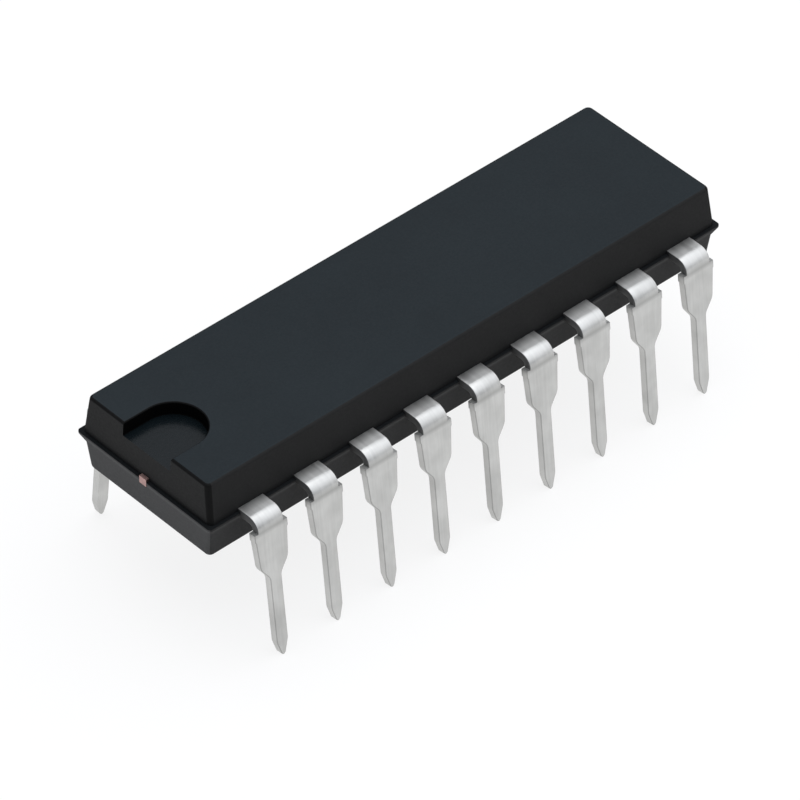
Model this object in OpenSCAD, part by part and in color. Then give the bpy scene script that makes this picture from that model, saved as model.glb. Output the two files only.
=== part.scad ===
// Dual in-line integrated circuit: two rows of leads under a moulded epoxy body.
// Millimetres. X runs along the body with the notch at -X, the first lead row faces -Y,
// and the lead tips stand on Z = 0. Pin 1 is next to the notch on the -Y side.

/* [Leads] */
// Number of leads in each of the two rows
pins_per_row = 9; // [5:1:12]
// Distance between the centres of neighbouring leads
pitch = 2.54; // [2.3:0.02:2.8]
// Thickness of the lead frame sheet
lead_t = 0.31; // [0.22:0.01:0.36]
// Width of a lead where it leaves the body
neck_w = 1.15; // [0.9:0.01:1.3]
// Distance from the side of the body to the start of the bend
neck_run = 0.56; // [0.4:0.01:0.9]
// Outer radius of the bend
bend_r = 0.5; // [0.42:0.01:0.6]
// Lean of the legs away from upright, in degrees
splay = 6.1; // [0:0.1:9]
// Length of the wide part of a leg, from the bend to its taper
shoulder_len = 1.61; // [1.2:0.01:2]
// Width of the leg just under the bend
shoulder_w = 1.41; // [1.32:0.01:1.44]
// Width of the leg where its taper starts
shoulder_end_w = 1.24; // [1.1:0.01:1.35]
// Length of the taper between the wide part and the pin
taper_len = 0.54; // [0.4:0.01:0.7]
// Width of the pin that goes through the circuit board
pin_w = 0.5; // [0.4:0.01:0.58]
// Length of the pin, with its point
pin_len = 3.47; // [2.8:0.01:4.2]
// Radius of the corners where the taper starts and ends
taper_r = 0.4; // [0.1:0.01:0.5]
// Length of the point
point_len = 0.6; // [0.4:0.01:0.8]
// Width of the point at its blunt end
point_w = 0.18; // [0.14:0.01:0.3]
// Size of the chamfers that the shear leaves at the blunt end
shear_break = 0.05; // [0.02:0.005:0.06]

/* [Dam bar stubs] */
// Width across the two stubs that the trimmed dam bar leaves
stub_w = 1.48; // [1.45:0.01:1.64]
// Length of a stub along the leg
stub_len = 0.3; // [0.15:0.01:0.45]
// Distance from the end of the bend to a stub
stub_from = 0.05; // [0.02:0.01:0.15]

/* [Body] */
// Distance from the centre of the last lead to the end of the body
end_margin = 1.83; // [1.4:0.01:2.6]
// Width of the body at its parting line
body_wid = 6.74; // [6.3:0.01:7]
// Height of the upper half, above the lead frame
cover_h = 1.55; // [1.2:0.01:1.9]
// Height of the lower half, under the lead frame
base_h = 1.45; // [1.2:0.01:1.9]
// Draft of the two ends, in degrees
end_draft = 4; // [2:0.1:8]
// Draft of the two long sides, in degrees
side_draft = 8; // [2:0.1:9]
// Radius of the upright edges
corner_r = 0.22; // [0.1:0.01:0.4]
// Radius of the edges round the top
edge_r = 0.12; // [0.05:0.01:0.25]
// Radius of the edges round the underside
base_edge_r = 0.18; // [0.05:0.01:0.25]
// Distance that the parting line rim stands out from the sides
rim_out = 0.14; // [0.05:0.01:0.22]
// Distance from the upper face of the leads down to the rim
rim_drop = 0.1; // [0.05:0.01:0.12]
// Height of the rim's upright face
rim_face = 0.1; // [0.05:0.01:0.12]
// Height of the slope that leads from the rim's face back to the side of the lower half
rim_slope = 0.35; // [0.15:0.01:0.5]
// Radius of the rim's corners
rim_r = 0.14; // [0.05:0.01:0.3]

/* [Notch and marks] */
// Width of the index notch
notch_w = 2.5; // [1.8:0.05:3.2]
// Length of the index notch from the end of the top face
notch_len = 2.4; // [1.8:0.05:3.2]
// Depth of the index notch
notch_depth = 0.55; // [0.3:0.01:0.8]
// Diameter of the two ejector pin marks on the underside
ejector_d = 1.6; // [1:0.05:2.4]
// Distance between the two ejector pin marks
ejector_span = 14; // [10:0.1:17]
// Depth of an ejector pin mark
ejector_depth = 0.08; // [0.03:0.01:0.15]

/* [Lead frame inside the body] */
// Distance that the wide part of a lead reaches into the body
root_depth = 0.85; // [0.7:0.01:0.95]
// Diameter of the hole that locks a lead in the moulding
lock_d = 0.45; // [0.3:0.01:0.55]
// Width of a finger where it leaves the wide part
finger_w = 0.34; // [0.24:0.01:0.38]
// Width of a finger at its tip
finger_tip_w = 0.2; // [0.14:0.01:0.22]
// Spread of the finger tips round the die paddle, in degrees from the middle
fan = 75; // [68:1:78]
// Clearance between the paddle's corners and the ring of finger tips
paddle_gap = 0.34; // [0.26:0.01:0.4]
// Length of the die paddle
paddle_len = 3.4; // [2.8:0.05:3.8]
// Width of the die paddle
paddle_wid = 2.4; // [2:0.05:2.5]
// Depth of the paddle under the plane of the fingers
downset = 0.32; // [0.1:0.01:0.5]
// Width of the two bars that tie the paddle to the ends of the frame
tie_w = 0.36; // [0.25:0.01:0.5]
// Length of the slope where a tie bar steps down to the paddle
tie_slope = 0.45; // [0.3:0.01:0.8]

/* [Die and bond wires] */
// Length of the silicon die
die_len = 2.2; // [1.4:0.05:2.5]
// Width of the silicon die
die_wid = 1.6; // [1.2:0.05:1.8]
// Thickness of the silicon die
die_t = 0.3; // [0.2:0.01:0.4]
// Thickness of the adhesive under the die
attach_t = 0.03; // [0.02:0.005:0.05]
// Distance that the adhesive shows round the die
attach_out = 0.08; // [0.03:0.01:0.15]
// Distance from the edge of the die to the bond pads
pad_in = 0.12; // [0.08:0.01:0.2]
// Diameter of a bond wire
wire_d = 0.033; // [0.025:0.001:0.05]
// Rise of a wire's loop above the line between its ends
loop_h = 0.3; // [0.2:0.01:0.4]
// Diameter of the ball bond on the die
ball_d = 0.09; // [0.07:0.005:0.1]
// Height of the ball bond
ball_h = 0.03; // [0.02:0.005:0.04]
// Distance from the tip of a finger to the end of its wire
stitch_in = 0.3; // [0.2:0.01:0.4]

/* [Hidden] */
pin_count = 2 * pins_per_row;
body_len = (pins_per_row - 1) * pitch + 2 * end_margin;
bend_start = body_wid / 2 + neck_run;
leg_len = shoulder_len + taper_len + pin_len;

// The frame's upper face is Z = 0 in every module, and this height brings the tips down to the board
frame_z = leg_len * cos(splay) - (bend_r - lead_t) * sin(splay) + bend_r;

// The ring of finger tips is an ellipse that clears the corners of the paddle
ring_x = paddle_len / 2 * sqrt(2) + paddle_gap;
ring_y = paddle_wid / 2 * sqrt(2) + paddle_gap;
root_y = body_wid / 2 - root_depth;

paddle_z = -downset;
die_z = paddle_z + attach_t;
die_top = die_z + die_t;

arc_steps = 12;
corner_steps = 6;
edge_steps = 4;
wire_sides = 6;
wire_steps = 9;
stitch_len = 0.12;
loop_lean = 1.6;
loop_peak = 0.8;
through = 1;
tiny = 0.001;

function numbered(name, pin) = str(name, pin < 10 ? "_0" : "_", pin);

// Column of a pin in its row, counted from the notch end of the first row, and its place along X
function column(pin) = (pin - 1) % pins_per_row;
function lead_x(pin) = (column(pin) - (pins_per_row - 1) / 2) * pitch;

// The second row is the first one turned half round, so the pins count round the body
module in_row(pin) {
    rotate([0, 0, pin > pins_per_row ? 180 : 0]) children();
}

module on_board() {
    translate([0, 0, frame_z]) children();
}

// Points of an arc in its own plane
function arc(centre, r, from, to, steps) = [
    for (i = [0:steps])
        let (turn = from + (to - from) * i / steps)
        centre + r * [cos(turn), sin(turn)]
];

// Outline of a rectangle with round corners
function round_outline(len, wid, r) = [
    for (corner = [[1, 1, 0], [-1, 1, 90], [-1, -1, 180], [1, -1, 270]])
        let (centre = [corner.x * (len / 2 - r), corner.y * (wid / 2 - r)])
        each arc(centre, r, corner.z, corner.z + 90, corner_steps)
];

// Closed solid through a stack of outlines with the same number of points
module loft(outlines) {
    n = len(outlines[0]);
    last = len(outlines) - 1;
    sides = [
        for (k = [0:last - 1]) for (i = [0:n - 1])
            [k * n + i, (k + 1) * n + i, (k + 1) * n + (i + 1) % n, k * n + (i + 1) % n]
    ];
    ends = [[for (i = [0:n - 1]) i], [for (i = [0:n - 1]) last * n + n - 1 - i]];
    polyhedron([for (outline = outlines) each outline], concat(sides, ends), convexity = 4);
}

// Section of the body at height z, rise away from the plane where the body has its full size.
// The draft pulls it in over that rise, and a rounded edge pulls it in by edge_in more.
function body_section(rise, edge_in, z) =
    let (
        end_in = rise * tan(end_draft) + edge_in,
        side_in = rise * tan(side_draft) + edge_in
    )
    [for (p = round_outline(body_len - 2 * end_in, body_wid - 2 * side_in, corner_r)) [p.x, p.y, z]];
function rim_section(z) = [
    for (p = round_outline(body_len + 2 * rim_out, body_wid + 2 * rim_out, rim_r)) [p.x, p.y, z]
];

// Sections of one half of the body from the rim outwards, with edge radius r. Its first section is
// rise start away from its own face of the lead frame, at height z. Side is 1 for the upper half
// and -1 for the lower one.
function half_sections(start, h, r, z, side) = concat(
    [body_section(start, 0, z + side * start)],
    [
        for (i = [0:edge_steps])
            let (turn = 90 * i / edge_steps)
            body_section(h - r, r * (1 - cos(turn)), z + side * (h - r + r * sin(turn)))
    ]
);
function backwards(list) = [for (i = [len(list) - 1:-1:0]) list[i]];

module body_blank() {
    rim_foot = rim_drop + rim_face + rim_slope;
    loft(concat(
        backwards(half_sections(rim_foot - lead_t, base_h, base_edge_r, -lead_t, -1)),
        [rim_section(-rim_drop - rim_face), rim_section(-rim_drop)],
        half_sections(-rim_drop, cover_h, edge_r, 0, 1)
    ));
}

// U-shaped recess in the top face, open at the -X end
module index_notch() {
    top_end = -body_len / 2 + cover_h * tan(end_draft);
    r = notch_w / 2;
    round_end = arc([top_end + notch_len - r, 0], r, -90, 90, 2 * arc_steps);
    translate([0, 0, cover_h - notch_depth])
        linear_extrude(notch_depth + through)
            polygon(concat([[-body_len, -r]], round_end, [[-body_len, r]]));
}

module ejector_marks() {
    for (x = [-ejector_span / 2, ejector_span / 2])
        translate([x, 0, -lead_t - base_h - through])
            cylinder(h = through + ejector_depth, d = ejector_d, $fn = 48);
}

// Black epoxy, moulded round everything that it holds
module moulded_body() {
    color([0.17, 0.19, 0.21]) on_board() difference() {
        body_blank();
        index_notch();
        ejector_marks();
        paddle_and_ties();
        attach_layer();
        die_block();
        for (pin = [1:pin_count]) {
            frame_lead(pin);
            wire(pin);
        }
    }
}

// Tip of a finger: the tips fan out on an ellipse round the paddle
function tip_share(pin) = 2 * column(pin) / (pins_per_row - 1) - 1;
function finger_tip(pin) = [ring_x * sin(tip_share(pin) * fan), -ring_y * cos(tip_share(pin) * fan)];
function finger_root(pin) = [lead_x(pin), -root_y - finger_w / 2];
function finger_dir(pin) = (finger_root(pin) - finger_tip(pin)) / norm(finger_root(pin) - finger_tip(pin));

// Flat part of a lead: the neck that leaves the body, and the tapered finger that runs to the die
module frame_lead(pin) {
    across = [-finger_dir(pin).y, finger_dir(pin).x];
    in_row(pin) translate([0, 0, -lead_t]) difference() {
        linear_extrude(lead_t) union() {
            translate([lead_x(pin) - neck_w / 2, -bend_start]) square([neck_w, bend_start - root_y]);
            polygon([
                finger_root(pin) + across * finger_w / 2,
                finger_root(pin) - across * finger_w / 2,
                finger_tip(pin) - across * finger_tip_w / 2,
                finger_tip(pin) + across * finger_tip_w / 2
            ]);
        }
        translate([lead_x(pin), -root_y - root_depth / 2 - finger_w / 4, -through])
            cylinder(h = lead_t + 2 * through, d = lock_d, $fn = 32);
    }
}

// Side view of the bend and the leg, with X pointing away from the body and Y up
function leg_profile() =
    let (
        centre = [bend_start, -bend_r],
        outer = arc(centre, bend_r, 90, splay, arc_steps),
        inner = arc(centre, bend_r - lead_t, 90, splay, arc_steps),
        down = leg_len * [sin(splay), -cos(splay)],
        lap = [-neck_run / 2, 0]
    )
    concat(
        [outer[0] + lap],
        outer,
        [outer[arc_steps] + down, inner[arc_steps] + down],
        backwards(inner),
        [inner[0] + lap]
    );

// Front view of the same stretch: width, distance down the leg from the end of the bend,
// and radius of the corner
function leg_widths() = [
    [neck_w, stub_from, 0],
    [stub_w, stub_from, 0],
    [stub_w, stub_from + stub_len, 0],
    [shoulder_w, stub_from + stub_len + (stub_w - shoulder_w) / 2, 0],
    [shoulder_end_w, shoulder_len, taper_r],
    [pin_w, shoulder_len + taper_len, taper_r],
    [pin_w, leg_len - point_len, taper_r],
    [point_w, leg_len - shear_break, 0],
    [point_w - 2 * shear_break, leg_len, 0]
];

// Corner b of an outline, between its neighbours a and c, rounded to radius r
function round_corner(a, b, c, r) =
    let (
        before = unit(a - b),
        after = unit(c - b),
        half = acos(before * after) / 2,
        centre = b + unit(before + after) * r / sin(half),
        from = b + before * r / tan(half) - centre,
        to = b + after * r / tan(half) - centre
    )
    r == 0 ? [b] : [for (i = [0:corner_steps]) centre + r * unit(from + (to - from) * i / corner_steps)];
function leg_front() =
    let (
        bend_end = -bend_r + bend_r * sin(splay),
        rows = leg_widths(),
        corners = [for (w = rows) [w.x / 2, bend_end - w.y * cos(splay)]],
        last = len(corners) - 1,
        path = concat([[neck_w / 2, through]], corners, [corners[last] - [0, through]]),
        right = concat(
            [path[0]],
            [for (i = [0:last]) each round_corner(path[i], path[i + 1], path[i + 2], rows[i][2])],
            [path[last + 2]]
        )
    )
    concat(right, [for (p = backwards(right)) [-p.x, p.y]]);

module bent_leg(pin) {
    in_row(pin) translate([lead_x(pin), 0, 0]) intersection() {
        translate([stub_w / 2, 0, 0]) rotate([90, 0, -90]) linear_extrude(stub_w) polygon(leg_profile());
        translate([0, -body_wid / 2, 0]) rotate([90, 0, 0])
            linear_extrude(2 * body_wid) polygon(leg_front());
    }
}

// Tinned lead, stamped and bent in one piece
module lead(pin) {
    color([0.75, 0.75, 0.74]) on_board() union() {
        frame_lead(pin);
        bent_leg(pin);
    }
}

// Side view of one tie bar, from under the paddle's edge out to the rim
module tie_bar() {
    flat_end = body_len / 2 + rim_out;
    slope_in = paddle_len / 2;
    slope_out = slope_in + tie_slope;
    translate([0, tie_w / 2, 0]) rotate([90, 0, 0]) linear_extrude(tie_w) polygon([
        [slope_in - tie_w, paddle_z],
        [slope_in, paddle_z],
        [slope_out, 0],
        [flat_end, 0],
        [flat_end, -lead_t],
        [slope_out, -lead_t],
        [slope_in, paddle_z - lead_t],
        [slope_in - tie_w, paddle_z - lead_t]
    ]);
}

module paddle_and_ties() {
    union() {
        translate([-paddle_len / 2, -paddle_wid / 2, paddle_z - lead_t])
            cube([paddle_len, paddle_wid, lead_t]);
        tie_bar();
        rotate([0, 0, 180]) tie_bar();
    }
}

// Copper plate under the die, with the bars that held it in the frame
module die_paddle() {
    color([0.78, 0.5, 0.38]) on_board() paddle_and_ties();
}

module attach_layer() {
    size = [die_len + 2 * attach_out, die_wid + 2 * attach_out, attach_t];
    translate([-size.x / 2, -size.y / 2, paddle_z]) cube(size);
}

// Silver-filled adhesive
module die_attach() {
    color([0.6, 0.6, 0.62]) on_board() attach_layer();
}

module die_block() {
    translate([-die_len / 2, -die_wid / 2, die_z]) cube([die_len, die_wid, die_t]);
}

module silicon_die() {
    color([0.35, 0.38, 0.45]) on_board() die_block();
}

// Bond pad of a pin: where the line from the centre to its finger tip leaves the ring of pads
function pad(pin) =
    let (
        tip = finger_tip(pin),
        reach_x = (die_len / 2 - pad_in) / max(abs(tip.x), tiny),
        reach_y = (die_wid / 2 - pad_in) / max(abs(tip.y), tiny)
    )
    tip * min(reach_x, reach_y);
function stitch(pin) = finger_tip(pin) + finger_dir(pin) * stitch_in;

// A wire leaves its ball upright, arches over early, and comes down flat on the finger
function loop_share(t) = pow(t, loop_lean);
function loop_rise(t) = loop_h * sin(180 * pow(t, loop_peak));
function wire_points(pin) =
    let (
        start = [pad(pin).x, pad(pin).y, die_top + ball_h / 2],
        flat_z = wire_d / 2 * cos(180 / wire_sides),
        along = (stitch(pin) - pad(pin)) / norm(stitch(pin) - pad(pin)),
        end = [stitch(pin).x - along.x * stitch_len, stitch(pin).y - along.y * stitch_len, flat_z],
        last = [stitch(pin).x, stitch(pin).y, flat_z]
    )
    concat(
        [start],
        [
            for (i = [1:wire_steps])
                let (t = i / wire_steps)
                [
                    start.x + (end.x - start.x) * loop_share(t),
                    start.y + (end.y - start.y) * loop_share(t),
                    start.z + (end.z - start.z) * t + loop_rise(t)
                ]
        ],
        [last]
    );

// Ring of points round a path point, square to the path, with one flat side down
function ring(at, ahead, aside) =
    let (over = cross(ahead, aside))
    [
        for (i = [0:wire_sides - 1])
            let (a = (i + 0.5) * 360 / wire_sides - 90)
            at + wire_d / 2 * (aside * cos(a) + over * sin(a))
    ];
function unit(v) = v / norm(v);

module wire(pin) {
    points = wire_points(pin);
    n = len(points);
    flat_dir = unit([points[n - 1].x - points[0].x, points[n - 1].y - points[0].y, 0]);
    aside = [-flat_dir.y, flat_dir.x, 0];
    rings = [
        for (i = [0:n - 1])
            let (
                ahead = i == 0 ? [0, 0, 1]
                    : i >= n - 2 ? flat_dir
                    : unit(unit(points[i + 1] - points[i]) + unit(points[i] - points[i - 1]))
            )
            ring(points[i], ahead, aside)
    ];
    in_row(pin) union() {
        loft(rings);
        translate([points[0].x, points[0].y, die_top]) cylinder(h = ball_h, d = ball_d, $fn = 10);
    }
}

// Gold wire with its ball bond
module bond_wire(pin) {
    color([0.95, 0.75, 0.3]) on_board() wire(pin);
}

moulded_body();
die_paddle();
die_attach();
silicon_die();
for (pin = [1:pin_count]) {
    lead(pin);
    bond_wire(pin);
}
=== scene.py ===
import math

import bmesh
import bpy
from mathutils import Matrix, Vector


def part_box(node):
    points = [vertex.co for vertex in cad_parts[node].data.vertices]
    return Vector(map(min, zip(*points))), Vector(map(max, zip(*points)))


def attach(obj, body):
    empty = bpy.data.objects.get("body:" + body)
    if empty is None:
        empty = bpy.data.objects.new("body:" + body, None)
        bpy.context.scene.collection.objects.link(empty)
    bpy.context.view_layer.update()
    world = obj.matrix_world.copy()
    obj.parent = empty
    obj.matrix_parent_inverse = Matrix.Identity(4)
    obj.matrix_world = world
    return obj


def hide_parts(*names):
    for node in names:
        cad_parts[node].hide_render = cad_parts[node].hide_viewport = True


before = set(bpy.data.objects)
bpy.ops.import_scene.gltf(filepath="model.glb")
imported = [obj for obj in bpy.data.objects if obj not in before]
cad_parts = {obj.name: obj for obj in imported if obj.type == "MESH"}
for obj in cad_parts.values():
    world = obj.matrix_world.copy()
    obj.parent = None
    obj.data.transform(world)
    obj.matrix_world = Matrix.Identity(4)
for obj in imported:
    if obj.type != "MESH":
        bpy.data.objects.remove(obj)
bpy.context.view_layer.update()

# Sizes are in millimetres, and angles in radians
MM = 0.001
PINS_PER_ROW = 9
PITCH = 2.54
LEAD_T = 0.31

# Body
END_MARGIN = 1.83
BODY_LEN = (PINS_PER_ROW - 1) * PITCH + 2 * END_MARGIN
BODY_WID = 6.74
COVER_H = 1.55
BASE_H = 1.45
END_DRAFT = math.tan(math.radians(4))
SIDE_DRAFT = math.tan(math.radians(8))
CORNER_R = 0.22
TOP_EDGE_R = 0.12
BASE_EDGE_R = 0.18
RIM_OUT = 0.14
RIM_DROP = 0.1
RIM_FACE = 0.1
RIM_SLOPE = 0.35
RIM_R = 0.14
RIM_EDGE_R = 0.02
NOTCH_W = 2.5
NOTCH_LEN = 2.4
NOTCH_DEPTH = 0.55
NOTCH_LIP_R = 0.06
NOTCH_FLOOR_R = 0.03
EJECTOR_D = 1.6
EJECTOR_SPAN = 14
EJECTOR_DEPTH = 0.08
TIE_W = 0.36

# The tips of the leads are bent a little off square, so the top of the body gives the frame's height
FRAME_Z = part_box("moulded_body")[1][2] / MM - COVER_H

# Leads, from the neck by the body down to the point
NECK_W = 1.15
NECK_RUN = 0.56
BEND_R = 0.5
SPLAY = math.radians(6.1)
STUB_W = 1.48
STUB_LEN = 0.3
STUB_FROM = 0.05
SHOULDER_LEN = 1.61
SHOULDER_W = 1.41
SHOULDER_END_W = 1.24
TAPER_LEN = 0.54
TAPER_R = 0.4
PIN_W = 0.5
PIN_LEN = 3.47
POINT_LEN = 0.6
POINT_W = 0.18
SHEAR_BREAK = 0.05
LEG_LEN = SHOULDER_LEN + TAPER_LEN + PIN_LEN
# Edges that the stamping rolled over on the outer face, the width of the strip along them that is painted darker
# as painted shade, and the crisper edges of the inner face. All of them start this deep in the body.
ROLLED_R = 0.065
ROLLED_EDGE_SHADE_W = 1.1 * ROLLED_R
CRISP_R = 0.02
SOFT_DEPTH = 0.1
# A leg's bend and its two ways, for a lead of the first row
BEND_CENTRE = Vector((0, -BODY_WID / 2 - NECK_RUN, -BEND_R))
DOWN_LEG = Vector((0, -math.sin(SPLAY), -math.cos(SPLAY)))
OUT_OF_LEG = Vector((0, -math.cos(SPLAY), math.sin(SPLAY)))

# Inner ends of the leads: fingers that fan in to an oval ring round the die paddle
ROOT_DEPTH = 0.85
FINGER_W = 0.34
FINGER_TIP_W = 0.2
FAN = math.radians(75)
PADDLE_LEN = 3.4
PADDLE_WID = 2.4
PADDLE_GAP = 0.34
RING = Vector((PADDLE_LEN / 2 * math.sqrt(2) + PADDLE_GAP, PADDLE_WID / 2 * math.sqrt(2) + PADDLE_GAP))

# Solids that are cut out of the body: the gap round leads and tie bars, how deep their seats reach in, and how far
# the cutting solids stand out
SEAT_GAP = 0.004
SEAT_DEEP = 0.6
SEAT_PROUD = 1.0
NOTCH_END_PROUD = 4
NOTCH_TOP_PROUD = 1
EJECTOR_TOOL_LEN = 1
# The notch's end is a half round, but for a hair that keeps its two corners apart
NOTCH_ROUND = 0.4999

# Steps of the rounded shapes
CORNER_STEPS = 8
EDGE_STEPS = 5
RIM_EDGE_STEPS = 3
NOTCH_STEPS = 20
NOTCH_EDGE_ANGLES = [math.radians(a) for a in (0, 22.5, 45, 67.5, 90)]
EJECTOR_SIDES = 64
BEND_STEPS = 14
TAPER_STEPS = 5
ROLLED_STEPS = 3
CRISP_STEPS = 2

# Angles between faces: in one plane, a corner of the stamped strip, and an edge that stays sharp when it is shaded
ONE_PLANE = math.radians(1)
STAMPED_CORNER = math.radians(50)
SHARP_EDGE = math.radians(35)

# A face's kind is told by how much of its normal lies along an axis, which is 1 where it faces straight that way
FLOOR_FACING = 0.999
TOP_FACING = 0.93
WALL_FACING = 0.96
LONG_EDGE_FACING = 0.1
SHEARED_FACING = 0.6
ROLLED_LEAST, ROLLED_MOST = 0.1, 0.99
# How near to a line or plane a point may lie to be on it
LINE_NEAR = 0.02
PLANE_NEAR = 0.01
SAME_X = 1e-4

# Painted shade along the parting line: it starts and is full just under the ledge, and fades out up the wall
SEAM_SHADE_START = 0.03
SEAM_SHADE_FULL = 0.005
SEAM_SHADE_FADE = 0.22
# The dark line across the leg under the bend: how far it is full and how far it reaches, each way from its middle
BEND_LINE_FULL = 0.02
BEND_LINE_REACH = 0.18
# How far the resin film and the painted shade reach along the necks
RESIN_AND_SHADE_REACH = 0.4

# Places of the body's skins and the leads' finishes in their lists
TOP, SIDE, CORNER, LOWER_SIDE, LOWER_END, NOTCH_FLOOR, NOTCH_WALL = range(7)
DULL, SHEARED, SHADED_SIDE, ROLLED_EDGE = range(4)


# ---- Colours and nodes ----
def colour(code):
    """Linear colour of an sRGB hex value"""
    parts = [int(code[i:i + 2], 16) / 255 for i in (1, 3, 5)]
    return [p / 12.92 if p <= 0.04045 else ((p + 0.055) / 1.055) ** 2.4 for p in parts] + [1.0]


def add(tree, kind, inputs=None, **settings):
    """Adds a node. Settings are its own properties, and inputs are values or the sockets to link."""
    made = tree.nodes.new("ShaderNode" + kind)
    for name, value in settings.items():
        setattr(made, name, value)
    for name, value in (inputs or {}).items():
        if isinstance(value, bpy.types.NodeSocket):
            tree.links.new(value, made.inputs[name])
        else:
            made.inputs[name].default_value = value
    return made


def material(name):
    """New material, its tree and its empty output"""
    made = bpy.data.materials.new(name)
    made.use_nodes = True
    made.node_tree.nodes.clear()
    return made, made.node_tree, made.node_tree.nodes.new("ShaderNodeOutputMaterial")


def blend(tree, share, first, second):
    """Colour between two, each a fixed one or a socket, by a share that comes from a socket"""
    made = add(tree, "Mix", {"Factor": share, 6: first, 7: second}, data_type="RGBA")
    return made.outputs[2]


def per_mm(size):
    """Scale of a pattern whose features are this many millimetres across"""
    return 1 / (size * MM)


def moulding_compound(name, dark, light, shine, least_rough=0.6):
    """Epoxy filled with silica and carbon black, moulded in a spark-eroded cavity: near black with a satin skin
    whose fine pits blur the white room into a soft grey. Its two tones lie in faint clouds."""
    made, tree, out = material(name)
    place = add(tree, "TexCoord").outputs["Object"]
    # The resin flowed in from one corner, which leaves clouds a few millimetres across
    cloud = add(tree, "TexNoise", {"Vector": place, "Scale": per_mm(3.0), "Detail": 3.0, "Roughness": 0.6})
    # Filler grains are 0.03 mm across, too fine to show, so the pits are drawn at 0.09 mm
    pits = add(tree, "TexNoise", {"Vector": place, "Scale": per_mm(0.09), "Detail": 2.0, "Roughness": 0.7})
    tint = blend(tree, cloud.outputs["Fac"], colour(dark), colour(light))
    # Painted shade in the crease at the parting line: the ledge and the wall's foot above it go near black, without
    # shine
    height = add(tree, "SeparateXYZ", {"Vector": place}).outputs["Z"]
    ledge = (FRAME_Z - RIM_DROP) * MM
    over = add(tree, "MapRange", {
        "Value": height, "From Min": ledge - SEAM_SHADE_START * MM, "From Max": ledge - SEAM_SHADE_FULL * MM})
    under = add(tree, "MapRange", {
        "Value": height, "From Min": ledge, "From Max": ledge + SEAM_SHADE_FADE * MM, "To Min": 0.85, "To Max": 0.0})
    seam_shade = add(tree, "Math", {0: over.outputs[0], 1: under.outputs[0]}, operation="MULTIPLY")
    skin_colour = blend(tree, seam_shade.outputs[0], tint, colour("#111213"))
    gleam = add(tree, "MapRange", {"Value": seam_shade.outputs[0], "To Min": shine, "To Max": 0.05})
    rough = add(tree, "MapRange", {
        "Value": pits.outputs["Fac"], "From Min": 0.3, "From Max": 0.7,
        "To Min": least_rough, "To Max": least_rough + 0.1})
    dents = add(tree, "Bump", {"Height": pits.outputs["Fac"], "Strength": 0.5, "Distance": 0.006 * MM})
    skin = add(tree, "BsdfPrincipled", {
        "Base Color": skin_colour, "Roughness": rough.outputs["Result"], "IOR": 1.5,
        "Specular IOR Level": gleam.outputs["Result"], "Normal": dents.outputs["Normal"]})
    tree.links.new(skin.outputs[0], out.inputs[0])
    return made


def dull_tin(name, dark, light, least_rough, most_rough):
    """Copper alloy plated with matt tin, then bent: pale grey metal with a satin sheen. Its two tones lie in
    patches, and in streaks along the lead where the bending tool slid."""
    made, tree, out = material(name)
    place = add(tree, "TexCoord").outputs["Object"]
    # Tool streaks are 0.02 mm wide, too fine to show, so they are drawn 0.11 mm wide and 2.2 mm long
    along = add(tree, "Mapping", {"Vector": place, "Scale": (per_mm(0.11), per_mm(2.2), per_mm(2.2))})
    streaks = add(tree, "TexNoise", {
        "Vector": along.outputs["Vector"], "Scale": 1.0, "Detail": 3.0, "Roughness": 0.6})
    # The plating's grain, and patches where it is thicker
    grain = add(tree, "TexNoise", {"Vector": place, "Scale": per_mm(0.05), "Detail": 2.0, "Roughness": 0.6})
    patches = add(tree, "TexNoise", {"Vector": place, "Scale": per_mm(0.9), "Detail": 2.0, "Roughness": 0.5})
    mottle = add(tree, "Math", {0: streaks.outputs["Fac"], 1: patches.outputs["Fac"]}, operation="ADD")
    spread = add(tree, "MapRange", {"Value": mottle.outputs[0], "From Min": 0.7, "From Max": 1.3})
    tint = blend(tree, spread.outputs["Result"], colour(dark), colour(light))
    # A duller, darker line is painted across the leg, just under the bend, at the height of its centre
    ways = add(tree, "SeparateXYZ", {"Vector": place})
    line = (FRAME_Z - BEND_R) * MM
    off_line = add(tree, "Math", {0: ways.outputs["Z"], 1: line}, operation="SUBTRACT")
    far = add(tree, "Math", {0: off_line.outputs[0]}, operation="ABSOLUTE")
    dull = add(tree, "MapRange", {
        "Value": far.outputs[0], "From Min": BEND_LINE_FULL * MM, "From Max": BEND_LINE_REACH * MM,
        "To Min": 0.45, "To Max": 0.0})
    lined = blend(tree, dull.outputs["Result"], tint, colour("#8c8c8a"))
    # The neck is painted darker by the body: painted shade and reflection of the dark body, with resin that crept
    # out
    sideways = add(tree, "Math", {0: ways.outputs["Y"]}, operation="ABSOLUTE")
    resin_and_shade = add(tree, "MapRange", {
        "Value": sideways.outputs[0], "From Min": BODY_WID / 2 * MM,
        "From Max": (BODY_WID / 2 + RESIN_AND_SHADE_REACH) * MM, "To Min": 0.6, "To Max": 0.0})
    shade = blend(tree, resin_and_shade.outputs["Result"], lined, colour("#2c2c2a"))
    rough = add(tree, "MapRange", {
        "Value": streaks.outputs["Fac"], "From Min": 0.3, "From Max": 0.7,
        "To Min": least_rough, "To Max": most_rough})
    both = add(tree, "Math", {0: streaks.outputs["Fac"], 1: grain.outputs["Fac"]}, operation="ADD")
    dents = add(tree, "Bump", {"Height": both.outputs[0], "Strength": 0.4, "Distance": 0.004 * MM})
    skin = add(tree, "BsdfPrincipled", {
        "Base Color": shade, "Metallic": 1.0, "Roughness": rough.outputs["Result"],
        "Normal": dents.outputs["Normal"]})
    tree.links.new(skin.outputs[0], out.inputs[0])
    return made


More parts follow.
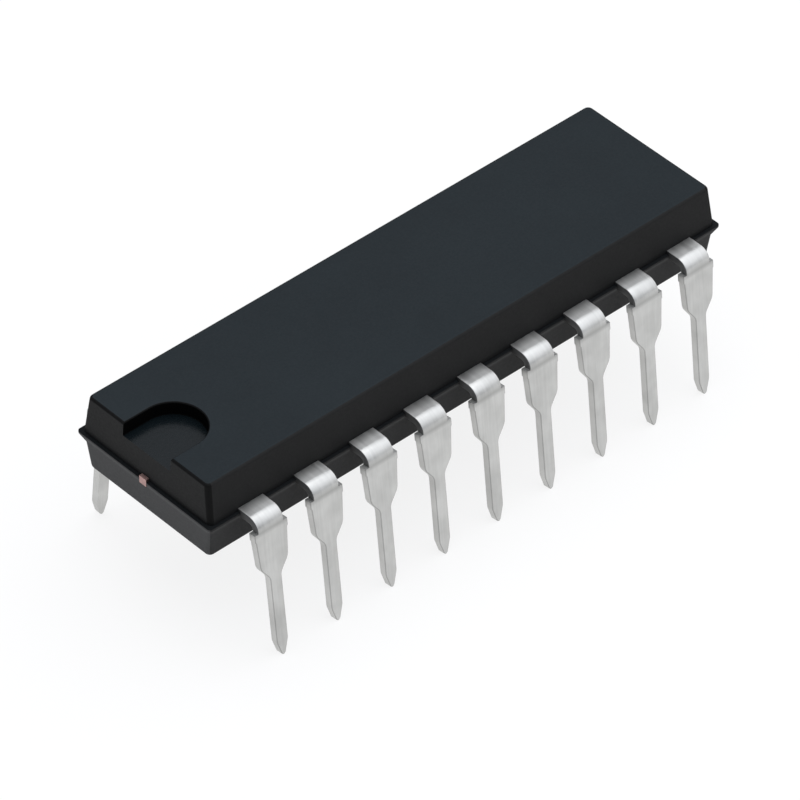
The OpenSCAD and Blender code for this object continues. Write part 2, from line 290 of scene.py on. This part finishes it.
def plain_finish(name, dark, light, size, rough, metallic):
    """Finish of a piece that the body hides, from two tones of it that are mixed in spots of this size"""
    made, tree, out = material(name)
    place = add(tree, "TexCoord").outputs["Object"]
    spots = add(tree, "TexNoise", {"Vector": place, "Scale": per_mm(size), "Detail": 2.0})
    tint = blend(tree, spots.outputs["Fac"], colour(dark), colour(light))
    dents = add(tree, "Bump", {"Height": spots.outputs["Fac"], "Strength": 0.3, "Distance": 0.003 * MM})
    skin = add(tree, "BsdfPrincipled", {
        "Base Color": tint, "Metallic": metallic, "Roughness": rough, "Normal": dents.outputs["Normal"]})
    tree.links.new(skin.outputs[0], out.inputs[0])
    return made


# ---- Modelling ----
def outline(bm, length, width, radius, z, middle=0.0, steps=CORNER_STEPS):
    """Loop of edges round a rectangle with round corners, centred on X = middle at height z"""
    there = set(bm.edges)
    corners = bmesh.ops.create_grid(bm, x_segments=1, y_segments=1, size=0.5)["verts"]
    place = Matrix.Translation((middle, 0, z)) @ Matrix.Diagonal((length, width, 1, 1))
    bmesh.ops.transform(bm, matrix=place, verts=corners)
    bmesh.ops.bevel(bm, geom=corners, offset=radius, offset_type="OFFSET", segments=steps, profile=0.5,
                    affect="VERTICES", material=-1)
    loop = [e for e in bm.edges if e not in there]
    bmesh.ops.delete(bm, geom=list({f for e in loop for f in e.link_faces}), context="FACES_ONLY")
    return loop


def close_stack(bm, loops):
    """Closed solid through loops of edges that lie over each other"""
    for low, high in zip(loops, loops[1:]):
        bmesh.ops.bridge_loops(bm, edges=low + high)
    for end in (loops[0], loops[-1]):
        bmesh.ops.edgeloop_fill(bm, edges=end)


def drafted(bm, rise, z):
    """Outline of the body at height z, rise away from the plane where it has its full size"""
    return outline(bm, BODY_LEN - 2 * rise * END_DRAFT, BODY_WID - 2 * rise * SIDE_DRAFT, CORNER_R, z)


def body_blank():
    """Both drafted halves and the rim between them, with soft edges"""
    bm = bmesh.new()
    rim_foot = RIM_DROP + RIM_FACE + RIM_SLOPE
    rim_len, rim_wid = BODY_LEN + 2 * RIM_OUT, BODY_WID + 2 * RIM_OUT
    base = drafted(bm, BASE_H, -LEAD_T - BASE_H)
    base_head = drafted(bm, rim_foot - LEAD_T, -rim_foot)
    rim_low = outline(bm, rim_len, rim_wid, RIM_R, -RIM_DROP - RIM_FACE)
    rim_high = outline(bm, rim_len, rim_wid, RIM_R, -RIM_DROP)
    cover_foot = drafted(bm, -RIM_DROP, -RIM_DROP)
    top = drafted(bm, COVER_H, COVER_H)
    close_stack(bm, [base, base_head, rim_low, rim_high, cover_foot, top])
    bmesh.ops.recalc_face_normals(bm, faces=bm.faces)
    for loop, radius, steps in ((top, TOP_EDGE_R, EDGE_STEPS), (base, BASE_EDGE_R, EDGE_STEPS),
                                (rim_high, RIM_EDGE_R, RIM_EDGE_STEPS), (rim_low, RIM_EDGE_R, RIM_EDGE_STEPS)):
        bmesh.ops.bevel(bm, geom=loop, offset=radius, offset_type="OFFSET", segments=steps, profile=0.5,
                        affect="EDGES", material=-1)
    return bm


def notch_tool(bm):
    """Solid of the index notch: rounded foot, wall, and a lip that opens out to round the edge of the top face"""
    far = -BODY_LEN / 2 - NOTCH_END_PROUD
    end = -BODY_LEN / 2 + COVER_H * END_DRAFT + NOTCH_LEN
    # How far out from the notch's outline the wall is, and how high over its floor
    wall = [(NOTCH_FLOOR_R * (math.sin(a) - 1), NOTCH_FLOOR_R * (1 - math.cos(a))) for a in NOTCH_EDGE_ANGLES]
    wall += [(NOTCH_LIP_R * (1 - math.cos(a)), NOTCH_DEPTH - NOTCH_LIP_R * (1 - math.sin(a)))
             for a in NOTCH_EDGE_ANGLES]
    wall += [(NOTCH_LIP_R, NOTCH_DEPTH + NOTCH_TOP_PROUD)]
    loops = []
    for out, rise in wall:
        width = NOTCH_W + 2 * out
        loops.append(outline(bm, end + out - far, width, width * NOTCH_ROUND, COVER_H - NOTCH_DEPTH + rise,
                             middle=(end + out + far) / 2, steps=NOTCH_STEPS))
    close_stack(bm, loops)


def block_tool(bm, low, high):
    """Box between two corners"""
    middle, size = (low + high) / 2, high - low
    bmesh.ops.create_cube(bm, size=1, matrix=Matrix.Translation(middle) @ Matrix.Diagonal((*size, 1)))


def row_share(pin):
    """Where a lead is in its row, from -1 at the notch end to 1, as if in the first row"""
    return 2 * ((pin - 1) % PINS_PER_ROW) / (PINS_PER_ROW - 1) - 1


def lead_x(pin):
    """Middle of a lead's neck along the body, as if in the first row"""
    return row_share(pin) * (PINS_PER_ROW - 1) / 2 * PITCH


def body_tools():
    """Everything that is missing from the blank: the notch, the ejector marks, and the seats of leads and tie
    bars"""
    bm = bmesh.new()
    notch_tool(bm)
    for x in (-EJECTOR_SPAN / 2, EJECTOR_SPAN / 2):
        place = Matrix.Translation((x, 0, -LEAD_T - BASE_H - EJECTOR_TOOL_LEN / 2 + EJECTOR_DEPTH))
        bmesh.ops.create_cone(bm, cap_ends=True, segments=EJECTOR_SIDES, radius1=EJECTOR_D / 2,
                              radius2=EJECTOR_D / 2, depth=EJECTOR_TOOL_LEN, matrix=place)
    gap = Vector((SEAT_GAP, 0, SEAT_GAP))
    for pin in range(1, PINS_PER_ROW + 1):
        x = lead_x(pin)
        for side in (-1, 1):
            ends = sorted((side * (BODY_WID / 2 - SEAT_DEEP), side * (BODY_WID / 2 + SEAT_PROUD)))
            block_tool(bm, Vector((x - NECK_W / 2, ends[0], -LEAD_T)) - gap,
                       Vector((x + NECK_W / 2, ends[1], 0)) + gap)
    gap = Vector((0, SEAT_GAP, SEAT_GAP))
    for side in (-1, 1):
        ends = sorted((side * (BODY_LEN / 2 - SEAT_DEEP), side * (BODY_LEN / 2 + SEAT_PROUD)))
        block_tool(bm, Vector((ends[0], -TIE_W / 2, -LEAD_T)) - gap, Vector((ends[1], TIE_W / 2, 0)) + gap)
    bmesh.ops.recalc_face_normals(bm, faces=bm.faces)
    return bm


def loose_object(name, bm):
    """New object in the scene, which takes over a mesh that was being modelled"""
    mesh = bpy.data.meshes.new(name)
    bm.to_mesh(mesh)
    bm.free()
    made = bpy.data.objects.new(name, mesh)
    bpy.context.scene.collection.objects.link(made)
    return made


def cut(blank, tools):
    """The blank with the tools' solids taken out of it"""
    work, knife = loose_object("blank", blank), loose_object("tools", tools)
    difference = work.modifiers.new("difference", "BOOLEAN")
    difference.operation, difference.solver, difference.object = "DIFFERENCE", "EXACT", knife
    done = bpy.data.meshes.new_from_object(work.evaluated_get(bpy.context.evaluated_depsgraph_get()))
    bm = bmesh.new()
    bm.from_mesh(done)
    for used in (work, knife):
        mesh = used.data
        bpy.data.objects.remove(used)
        bpy.data.meshes.remove(mesh)
    bpy.data.meshes.remove(done)
    return bm


def widen(bm, face, width):
    """Brings a face to a width along X about its own middle"""
    middle = face.calc_center_bounds()
    span = max(v.co.x for v in face.verts) - min(v.co.x for v in face.verts)
    bmesh.ops.scale(bm, vec=(width / span, 1, 1), space=Matrix.Translation(-middle), verts=face.verts)


def draw_out(bm, face, move, width=None):
    """Pulls a new length of the strip out of its end face, and returns the new end face"""
    first = len(bm.faces) == 1
    new = bmesh.ops.extrude_face_region(bm, geom=[face])["geom"]
    # The old end face closes the strip's start when it is the first one, and else is inside the strip
    if not first:
        bmesh.ops.delete(bm, geom=[face], context="FACES_ONLY")
    end = next(g for g in new if isinstance(g, bmesh.types.BMFace))
    bmesh.ops.translate(bm, vec=move, verts=end.verts)
    if width is not None:
        widen(bm, end, width)
    return end


def stamped_lead(pin):
    """One lead, drawn out from its finger tip by the die to the point of its pin, as if in the first row"""
    bm = bmesh.new()
    turn = row_share(pin) * FAN
    tip = Vector((RING.x * math.sin(turn), -RING.y * math.cos(turn), -LEAD_T / 2))
    root = Vector((lead_x(pin), -BODY_WID / 2 + ROOT_DEPTH, -LEAD_T / 2))
    heading = math.atan2(root.x - tip.x, -(root.y - tip.y))
    verts = bmesh.ops.create_grid(
        bm, x_segments=1, y_segments=1, size=0.5,
        matrix=Matrix.Translation(tip) @ Matrix.Rotation(heading, 4, "Z") @ Matrix.Rotation(math.pi / 2, 4, "X")
        @ Matrix.Diagonal((FINGER_TIP_W, LEAD_T, 1, 1)))["verts"]
    end = draw_out(bm, verts[0].link_faces[0], root - tip)
    bmesh.ops.rotate(bm, cent=root, matrix=Matrix.Rotation(-heading, 3, "Z"), verts=end.verts)
    widen(bm, end, FINGER_W)
    end = draw_out(bm, end, (0, 0, 0), NECK_W)
    end = draw_out(bm, end, (0, -ROOT_DEPTH - NECK_RUN, 0))
    turned = bmesh.ops.spin(
        bm, geom=[end, *end.edges, *end.verts], cent=BEND_CENTRE, axis=(1, 0, 0), angle=math.pi / 2 - SPLAY,
        steps=BEND_STEPS, use_merge=False, use_duplicate=False)["geom_last"]
    end = next(g for g in turned if isinstance(g, bmesh.types.BMFace))
    # Widths of the leg, and how far down it each of them is
    stub_end = STUB_FROM + STUB_LEN
    widths = ((NECK_W, STUB_FROM), (STUB_W, STUB_FROM), (STUB_W, stub_end),
              (SHOULDER_W, stub_end + (STUB_W - SHOULDER_W) / 2), (SHOULDER_END_W, SHOULDER_LEN),
              (PIN_W, SHOULDER_LEN + TAPER_LEN), (PIN_W, LEG_LEN - POINT_LEN),
              (POINT_W, LEG_LEN - SHEAR_BREAK), (POINT_W - 2 * SHEAR_BREAK, LEG_LEN))
    done = 0
    for width, at in widths:
        end = draw_out(bm, end, DOWN_LEG * (at - done), width)
        done = at
    bmesh.ops.dissolve_limit(bm, angle_limit=ONE_PLANE, verts=bm.verts, edges=bm.edges)
    bmesh.ops.recalc_face_normals(bm, faces=bm.faces)
    round_tapers(bm)
    soften_stamped_edges(bm)
    pick_finishes(bm)
    return bm


def leg_place(point):
    """Distance down the leg from the end of the bend, and out from the sheet's inner face"""
    step = point - BEND_CENTRE
    return step.dot(DOWN_LEG), step.dot(OUT_OF_LEG) - (BEND_R - LEAD_T)


def round_tapers(bm):
    """The die cut the shoulders and the roots of the points with a round corner"""
    turn = math.atan2((SHOULDER_END_W - PIN_W) / 2, TAPER_LEN)
    turn_point = math.atan2((PIN_W - POINT_W) / 2, POINT_LEN - SHEAR_BREAK)
    for at, angle in ((SHOULDER_LEN, turn), (SHOULDER_LEN + TAPER_LEN, turn), (LEG_LEN - POINT_LEN, turn_point)):
        across = [e for e in bm.edges if abs(e.verts[0].co.x - e.verts[1].co.x) < SAME_X
                  and all(abs(leg_place(v.co)[0] - at) < LINE_NEAR for v in e.verts)]
        bmesh.ops.bevel(bm, geom=across, offset=TAPER_R * math.tan(angle / 2), offset_type="OFFSET",
                        segments=TAPER_STEPS, profile=0.5, affect="EDGES", material=-1)


def soften_stamped_edges(bm):
    """Rolls over the edges of the outer face, and breaks those of the inner face a little, from just inside the
    body outwards"""
    soft_from = -BODY_WID / 2 + SOFT_DEPTH
    sharp = [e for e in bm.edges if len(e.link_faces) == 2 and e.calc_face_angle() > STAMPED_CORNER
             and min(v.co.y for v in e.verts) < soft_from
             and abs(e.link_faces[0].normal.x) + abs(e.link_faces[1].normal.x) > SHEARED_FACING]
    outer = [e for e in sharp if is_outer(e)]
    inner = [e for e in sharp if not is_outer(e)]
    for edges, radius, steps in ((outer, ROLLED_R, ROLLED_STEPS), (inner, CRISP_R, CRISP_STEPS)):
        bmesh.ops.bevel(bm, geom=[e for e in edges if e.is_valid], offset=radius, offset_type="OFFSET",
                        segments=steps, profile=0.5, affect="EDGES", clamp_overlap=True, material=-1)


def is_outer(edge):
    """Whether an edge is on the face that is on top of the neck and faces away from the body on the leg"""
    middle = (edge.verts[0].co + edge.verts[1].co) / 2
    if middle.y > BEND_CENTRE.y:
        return middle.z > -LEAD_T / 2
    if middle.z > BEND_CENTRE.z:
        return (middle.yz - BEND_CENTRE.yz).length > BEND_R - LEAD_T / 2
    return leg_place(middle)[1] > LEAD_T / 2


def pick_skins(bm):
    """Gives each face of the body its skin"""
    top_end = -BODY_LEN / 2 + COVER_H * END_DRAFT
    notch_half = NOTCH_W / 2 + NOTCH_LIP_R
    notch_floor = COVER_H - NOTCH_DEPTH - PLANE_NEAR
    for face in bm.faces:
        x, y, z = face.calc_center_median()
        along, across, up = abs(face.normal.x), abs(face.normal.y), face.normal.z
        in_notch = x > top_end and abs(y) < notch_half and z > notch_floor
        if in_notch and z < COVER_H - NOTCH_LIP_R:
            face.material_index = NOTCH_FLOOR if up > FLOOR_FACING else NOTCH_WALL
        elif z < -RIM_DROP - RIM_EDGE_R:
            face.material_index = LOWER_END if along > across else LOWER_SIDE
        elif up > TOP_FACING:
            face.material_index = TOP
        elif (max(along, across) > WALL_FACING or along < LONG_EDGE_FACING) and not in_notch:
            face.material_index = SIDE
        else:
            face.material_index = CORNER
    return bm


def pick_finishes(bm):
    """Gives each face of a lead its finish"""
    for face in bm.faces:
        down, out = leg_place(face.calc_center_median())
        sideways = abs(face.normal.x)
        if down > 0 and out > LEAD_T - ROLLED_EDGE_SHADE_W and ROLLED_LEAST < sideways < ROLLED_MOST:
            face.material_index = ROLLED_EDGE
        elif sideways > SHEARED_FACING:
            face.material_index = SHEARED if down > 0 else SHADED_SIDE
        else:
            face.material_index = DULL


def finished(name, bm, finishes, node):
    """Sets down a mesh that was modelled in millimetres from the lead frame's upper face, in place of a CAD node"""
    bmesh.ops.translate(bm, vec=(0, 0, FRAME_Z), verts=bm.verts)
    bmesh.ops.scale(bm, vec=(MM, MM, MM), verts=bm.verts)
    made = loose_object(name, bm)
    for finish in finishes:
        made.data.materials.append(finish)
    made.data.shade_smooth()
    made.data.set_sharp_from_angle(angle=SHARP_EDGE)
    flats = made.modifiers.new("even_flats", "WEIGHTED_NORMAL")
    flats.keep_sharp = True
    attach(made, "root")
    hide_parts(node)


# ---- The object ----
# Both lists are in the order of the names TOP to NOTCH_WALL and DULL to the rolled edges' place
body_skins = [
    # Top, which mirrors the lamp above it; its blue-grey colour is a painted reflection of the pale blue room above
    moulding_compound("top_skin_painted_sky_tint", "#12191d", "#192125", shine=0.185),
    # Sides of the upper half, and its long top edges
    moulding_compound("side_skin", "#141414", "#1a1a1a", shine=0.17),
    # Corners, the top edges of the ends and the notch's lip: painted blacker, as painted shade where these rounded
    # faces turn from the light
    moulding_compound("corner_skin_painted_shade", "#0a0a0a", "#0e0e0e", shine=0.1),
    # The lower half is painted greyer than the upper: a painted reflection of the white floor, which its
    # down-tilted faces mirror
    moulding_compound("lower_side_skin_painted_floor_light", "#242424", "#2a2a2a", shine=0.17),
    # Its ends are painted paler still: painted light, as the ends take more light than the long sides
    moulding_compound("lower_end_skin_painted_light", "#393939", "#3f3f3f", shine=0.2),
    # The pin that formed the notch was polished: its floor is smoother, and mirrors the wall along its edge
    # Its colour is painted darker than the top's, as painted shade in the recess, and keeps the top's painted blue
    # reflection
    moulding_compound("notch_floor_skin_painted_shade", "#080d10", "#0f1619", shine=0.14, least_rough=0.2),
    # Its wall is painted near black and nearly without shine: painted shade in the recess
    moulding_compound("notch_wall_skin_painted_shade", "#030303", "#060606", shine=0.02),
]
lead_finishes = [
    # Faces of the sheet
    dull_tin("dull_tin", "#bebebc", "#d4d4d2", least_rough=0.42, most_rough=0.56),
    # Sheared sides: torn copper under the tin makes them rougher and a little darker
    dull_tin("sheared_tin", "#bfbfbd", "#d4d4d2", least_rough=0.4, most_rough=0.6),
    # Sides of the necks and bends, by the body: painted dark as painted shade from the body beside them, and dull
    dull_tin("neck_side_painted_shade_tin", "#5a5a5a", "#7c7c7c", least_rough=0.5, most_rough=0.7),
    # Rolled edges of the legs: painted darker, a faint dark line along them that is painted shade
    dull_tin("rolled_edge_painted_shade_tin", "#a2a2a0", "#b4b4b2", least_rough=0.45, most_rough=0.6),
]

finished("body", pick_skins(cut(body_blank(), body_tools())), body_skins, "moulded_body")
for pin in range(1, 2 * PINS_PER_ROW + 1):
    strip = stamped_lead(pin)
    if pin > PINS_PER_ROW:
        bmesh.ops.rotate(strip, cent=(0, 0, 0), matrix=Matrix.Rotation(math.pi, 3, "Z"), verts=strip.verts)
    finished(f"tinned_lead_{pin:02d}", strip, lead_finishes, f"lead_{pin:02d}")

inner = {
    # Sheared copper alloy: pinkish metal, dulled by the heat of moulding
    "die_paddle": plain_finish("copper_alloy", "#9c7f7b", "#bf9d98", size=0.2, rough=0.45, metallic=1.0),
    # Epoxy full of silver flakes: a pale paste with a dull glitter
    "die_attach": plain_finish("silver_paste", "#9c9c9a", "#c9c9c6", size=0.05, rough=0.55, metallic=0.6),
    # Polished silicon under a thin glass coat: dark blue-grey
    "silicon_die": plain_finish("passivated_silicon", "#3a4152", "#4c5468", size=0.3, rough=0.18, metallic=0.4),
}
gold = plain_finish("drawn_gold", "#e2b65a", "#f2cf78", size=0.05, rough=0.25, metallic=1.0)
for name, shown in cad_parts.items():
    finish = gold if name.startswith("bond_wire") else inner.get(name)
    if finish:
        for seat in shown.material_slots:
            seat.material = finish

# ---- Floor, light and camera ----
# The floor reaches this many metres each way, and what is seen of it is this much glow, the rest lit paper
FLOOR_REACH = 3
GLOW_SHARE = 0.84
WHITE = (1, 1, 1, 1)

floor_bm = bmesh.new()
bmesh.ops.create_grid(floor_bm, x_segments=1, y_segments=1, size=FLOOR_REACH)
floor = loose_object("floor", floor_bm)
paper, tree, out = material("white_paper")
matt = add(tree, "BsdfDiffuse", {"Color": colour("#f2f2f2")})
glow = add(tree, "Emission", {"Color": WHITE, "Strength": 1.0})
path = add(tree, "LightPath")
seen = add(tree, "Math", {0: path.outputs["Is Camera Ray"], 1: path.outputs["Is Glossy Ray"]},
           operation="MAXIMUM")
share = add(tree, "Math", {0: seen.outputs[0], 1: GLOW_SHARE}, operation="MULTIPLY")
sheet = add(tree, "MixShader", {0: share.outputs[0], 1: matt.outputs[0], 2: glow.outputs[0]})
tree.links.new(sheet.outputs[0], out.inputs[0])
floor.data.materials.append(paper)

world = bpy.data.worlds.new("studio")
bpy.context.scene.world = world
world.use_nodes = True
tree = world.node_tree
tree.nodes.clear()
out = tree.nodes.new("ShaderNodeOutputWorld")
path = add(tree, "LightPath")
seen = add(tree, "Math", {0: path.outputs["Is Camera Ray"], 1: path.outputs["Is Transmission Ray"]},
           operation="MAXIMUM")
white = add(tree, "Background", {"Color": WHITE, "Strength": 1.0})
# The room is dark at the height of the object and paler above, as in a light tent that is open at the front
ways = add(tree, "SeparateXYZ", {"Vector": add(tree, "TexCoord").outputs["Generated"]})
fade = add(tree, "MapRange", {
    "Value": ways.outputs["Z"], "From Min": 0.0, "From Max": 0.7, "To Min": 0.06, "To Max": 0.75})
room = add(tree, "Background", {"Color": colour("#eef4ff"), "Strength": fade.outputs["Result"]})
both = add(tree, "MixShader", {0: seen.outputs[0], 1: room.outputs[0], 2: white.outputs[0]})
tree.links.new(both.outputs[0], out.inputs[0])


def softbox(name, direction, distance, size, power):
    """Square white area light that faces the object from a direction, in metres and watts"""
    lamp = bpy.data.lights.new(name, "AREA")
    lamp.shape, lamp.size, lamp.energy = "SQUARE", size, power
    made = bpy.data.objects.new(name, lamp)
    bpy.context.scene.collection.objects.link(made)
    aim = Vector(direction).normalized()
    made.location = aim * distance
    made.rotation_euler = aim.to_track_quat("Z", "Y").to_euler()


softbox("key", (0.5, -0.2, 0.82), distance=0.6, size=1.35, power=5.0)
softbox("overhead", (-0.1, 0.15, 1.0), distance=0.7, size=0.6, power=1.4)

# The camera that was fitted to the photo: how it is turned, how far it is from the middle of the lead frame and how
# far it is shifted across its view, and the pixels that a millimetre takes up in the middle of the picture
AZIMUTH, ELEVATION, ROLL = math.radians(-42.313), math.radians(41.460), math.radians(0.126)
DISTANCE, SIDE_SHIFT, RISE = 241.28, -0.143, -2.599
PIXELS_PER_MM = 28.379
PICTURE_W = 800
SENSOR_W = 36
back = Vector((math.sin(AZIMUTH) * math.cos(ELEVATION), -math.cos(AZIMUTH) * math.cos(ELEVATION),
               math.sin(ELEVATION)))
level = Vector((math.cos(AZIMUTH), math.sin(AZIMUTH), 0))
upright = back.cross(level)
right = level * math.cos(ROLL) + upright * math.sin(ROLL)
up = upright * math.cos(ROLL) - level * math.sin(ROLL)
eye = Vector((0, 0, FRAME_Z - LEAD_T / 2)) + right * SIDE_SHIFT + up * RISE + back * DISTANCE
camera = bpy.data.objects.new("camera", bpy.data.cameras.new("camera"))
bpy.context.scene.collection.objects.link(camera)
camera.matrix_world = Matrix.Translation(eye * MM) @ Matrix((right, up, back)).transposed().to_4x4()
camera.data.sensor_width = SENSOR_W
camera.data.lens = PIXELS_PER_MM * DISTANCE * SENSOR_W / PICTURE_W
camera.data.clip_start = 10 * MM
bpy.context.scene.camera = camera
bpy.context.scene.view_settings.view_transform = "Standard"
